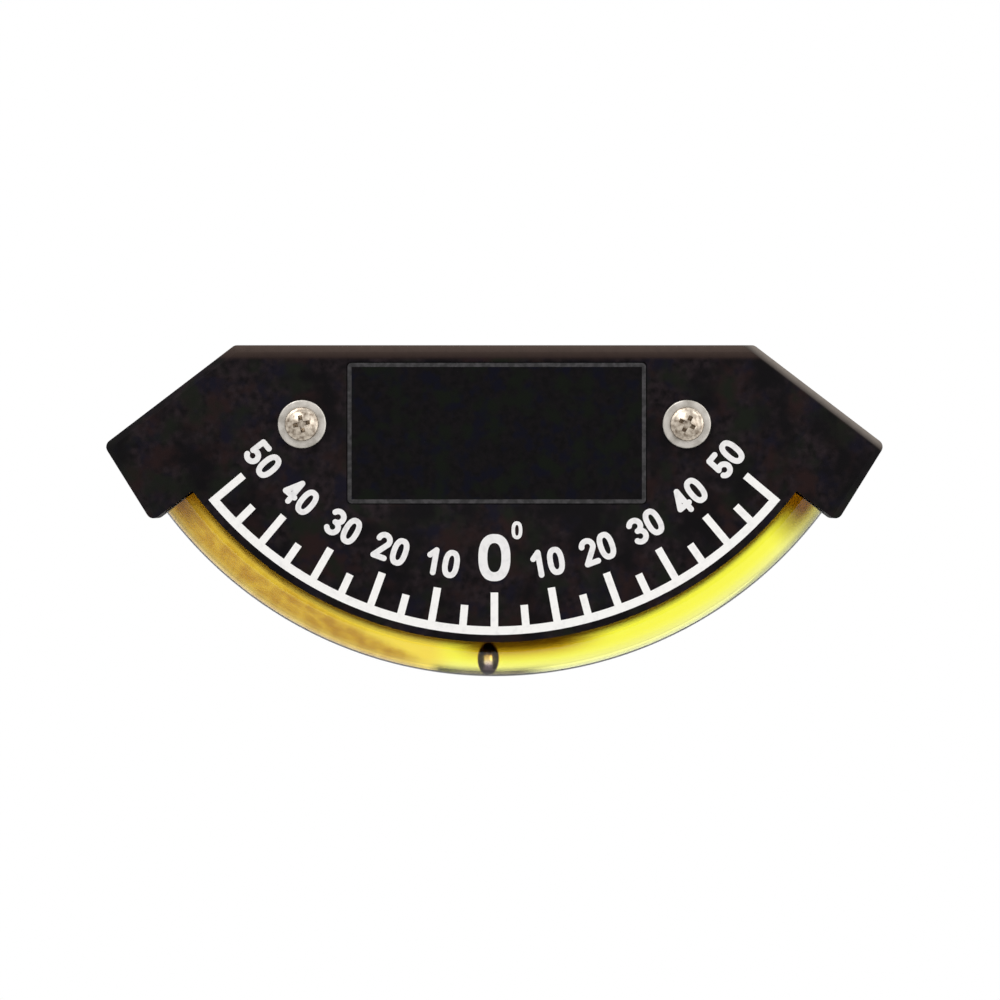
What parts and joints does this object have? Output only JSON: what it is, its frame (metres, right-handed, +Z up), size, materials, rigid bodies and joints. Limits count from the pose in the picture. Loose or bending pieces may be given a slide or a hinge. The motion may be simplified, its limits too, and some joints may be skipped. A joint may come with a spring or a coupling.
{
  "type": "inclinometer",
  "caption": "Curved-tube inclinometer: a steel ball in a liquid-filled arc tube reads tilt against a degree scale on a flat black housing held by two screws.",
  "frame": {"origin": "on the back face, midway between the axes of the two mounting screws", "axes": "+X to the right seen from the front, +Z up, and the dial face looks along -Y"},
  "size_m": [0.165, 0.0278, 0.0705],
  "materials": {
    "housing_plastic": "fine moulded texture, satin",
    "cover_plastic": "fine moulded texture, matt",
    "nameplate_film": "smooth satin film",
    "scale_print": "white printing ink",
    "clear_tube": "clear polished plastic tube",
    "tinted_liquid": "clear yellow liquid",
    "ball_steel": "polished steel ball",
    "foam_strip": "closed-cell strip",
    "plug_nylon": "natural moulded nylon",
    "black_rubber": "moulded rubber",
    "screw_steel": "nickel-plated",
    "washer_steel": "nickel-plated",
    "sleeve_steel": "turned steel",
    "cover_screw_steel": "zinc-plated"
  },
  "bodies": {
    "housing": {"front_housing": "housing_plastic", "back_cover": "cover_plastic", "nameplate": "nameplate_film", "scale_marks": "scale_print", "scale_numerals": "scale_print", "vial_tube": "clear_tube", "damping_fluid": "tinted_liquid", "bedding_strip": "foam_strip", "end_plug_left": "plug_nylon", "end_plug_right": "plug_nylon", "plug_o_ring_left": "black_rubber", "plug_o_ring_right": "black_rubber", "end_boot_left": "black_rubber", "end_boot_right": "black_rubber", "mounting_screw_left": "screw_steel", "mounting_screw_right": "screw_steel", "mounting_washer_left": "washer_steel", "mounting_washer_right": "washer_steel", "mounting_sleeve_left": "sleeve_steel", "mounting_sleeve_right": "sleeve_steel", "cover_screw_upper_left": "cover_screw_steel", "cover_screw_upper_right": "cover_screw_steel", "cover_screw_lower_left": "cover_screw_steel", "cover_screw_lower_right": "cover_screw_steel"},
    "ball": {"indicator_ball": "ball_steel"}
  },
  "joints": [
    {"name": "ball_swing", "type": "hinge", "parent": "housing", "child": "ball", "pos_m": [0, -0.007, 0.0338], "axis": [0, -1, 0], "range_deg": [-51.1, 52.9], "deforming": ["damping_fluid"]}
  ]
}
